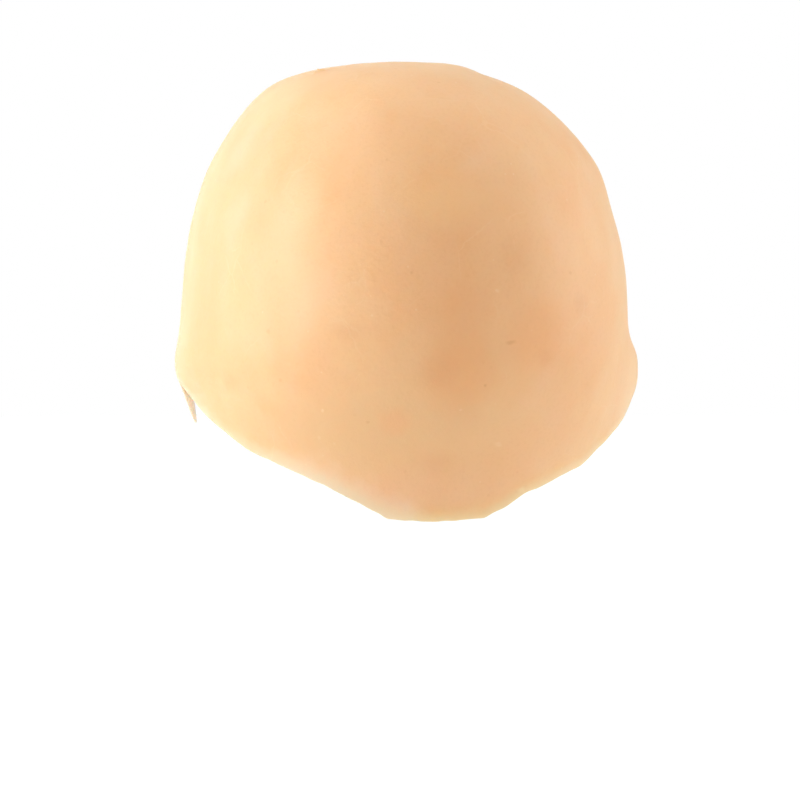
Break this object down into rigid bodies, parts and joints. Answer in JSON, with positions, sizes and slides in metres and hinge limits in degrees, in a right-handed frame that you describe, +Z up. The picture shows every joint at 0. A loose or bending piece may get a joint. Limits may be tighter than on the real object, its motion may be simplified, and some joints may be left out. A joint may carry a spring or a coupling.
{
  "type": "bald cap",
  "caption": "Skin-coloured moulded latex bald cap, a smooth thin shell that covers the scalp and the tops of the ears and comes down to the nape.",
  "frame": {"origin": "the spot inside the crown where the top of the head touches the latex", "axes": "+Z up along the head, -Y towards the face, +X towards the wearer's left ear"},
  "size_m": [0.1597, 0.1897, 0.153],
  "materials": {
    "latex": "matte skin-toned latex with faint mottling"
  },
  "bodies": {
    "root": {"cap_shell": "latex"}
  },
  "joints": []
}
